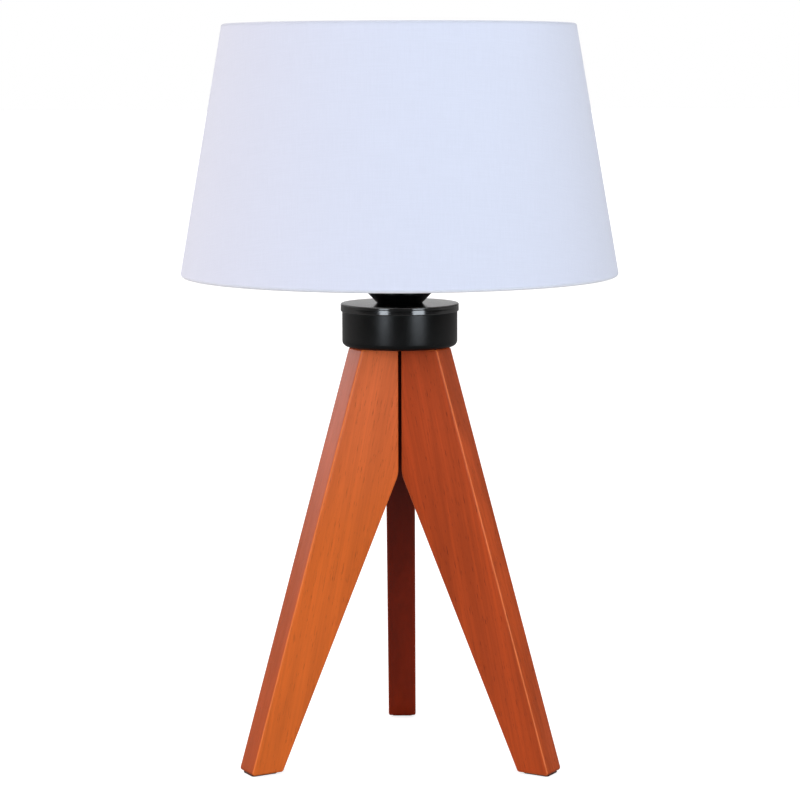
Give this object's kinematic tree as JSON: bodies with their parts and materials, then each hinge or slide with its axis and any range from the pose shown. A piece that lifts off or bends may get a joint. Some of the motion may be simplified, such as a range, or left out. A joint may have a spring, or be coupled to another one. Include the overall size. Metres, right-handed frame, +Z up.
{
  "type": "tripod table lamp",
  "caption": "Table lamp with splayed wooden tripod legs, a round black metal hub, a screw lampholder with a bulb, and a tapered white fabric drum shade on a wire frame.",
  "frame": {"origin": "on the floor under the lamp's axis, at the level of the foot pads", "axes": "+Z up along the lamp's axis, -Y is the front, +X is to the right seen from the front; the rear leg points to +Y"},
  "size_m": [0.2999, 0.3, 0.5071],
  "materials": {
    "wood": "stained and satin lacquered",
    "felt": "pressed felt",
    "brass": "plain brass",
    "zinc_steel": "zinc plated",
    "hub_black": "satin black powder coat",
    "gland_black": "moulded nylon",
    "holder_black": "moulded thermoset, satin",
    "core_ceramic": "cream insulator",
    "bulb_metal": "rolled thread, plain",
    "bulb_insulator_black": "glossy",
    "bulb_body_white": "moulded, satin",
    "bulb_opal": "opal, frosted",
    "white_wire": "white coated",
    "liner_film": "translucent film",
    "shade_fabric": "fine plain weave, white"
  },
  "bodies": {
    "root": {"leg_front_left": "wood", "leg_front_right": "wood", "leg_rear": "wood", "foot_pad_front_left": "felt", "foot_pad_front_right": "felt", "foot_pad_rear": "felt", "leg_inserts": "brass", "screw_shell": "brass", "terminal_blocks": "brass", "contact_strap": "brass", "threaded_tube": "brass", "tube_lock_nut": "brass", "leg_bolts": "zinc_steel", "bolt_washers": "zinc_steel", "leg_plate": "zinc_steel", "terminal_screws": "zinc_steel", "contact_spring": "zinc_steel", "hub_can": "hub_black", "hub_lid": "hub_black", "cord_gland": "gland_black", "gland_nut": "gland_black", "holder_cap": "holder_black", "holder_sleeve": "holder_black", "holder_core": "core_ceramic"},
    "shade": {"shade_centre_ring": "white_wire", "shade_spoke_front": "white_wire", "shade_spoke_left": "white_wire", "shade_spoke_right": "white_wire", "shade_bottom_wire": "white_wire", "shade_top_wire": "white_wire", "shade_liner": "liner_film", "shade_cover": "shade_fabric"},
    "shade_ring": {"shade_ring": "holder_black"},
    "contact": {"centre_contact": "brass"},
    "bulb": {"bulb_tip": "bulb_metal", "bulb_insulator": "bulb_insulator_black", "bulb_cap": "bulb_metal", "bulb_body": "bulb_body_white", "bulb_globe": "bulb_opal"}
  },
  "joints": [
    {"name": "shade_turn", "type": "hinge", "parent": "root", "child": "shade", "pos_m": [0, 0, 0.33529], "axis": [0, 0, 1], "continuous": true},
    {"name": "shade_ring_turn", "type": "hinge", "parent": "root", "child": "shade_ring", "pos_m": [0, 0, 0.33759], "axis": [0, 0, 1], "range_deg": [0, 720]},
    {"name": "contact_rise", "type": "slide", "parent": "root", "child": "contact", "axis": [0, 0, 1], "range_m": [0, 0.00272], "deforming": ["contact_spring"]},
    {"name": "bulb_turn", "type": "hinge", "parent": "contact", "child": "bulb", "pos_m": [0, 0, 0.36699], "axis": [0, 0, 1], "range_deg": [0, 270]}
  ],
  "couplings": [
    {"joint": "contact_rise", "follows": "bulb_turn", "m_per_rad": 0.00057773}
  ]
}
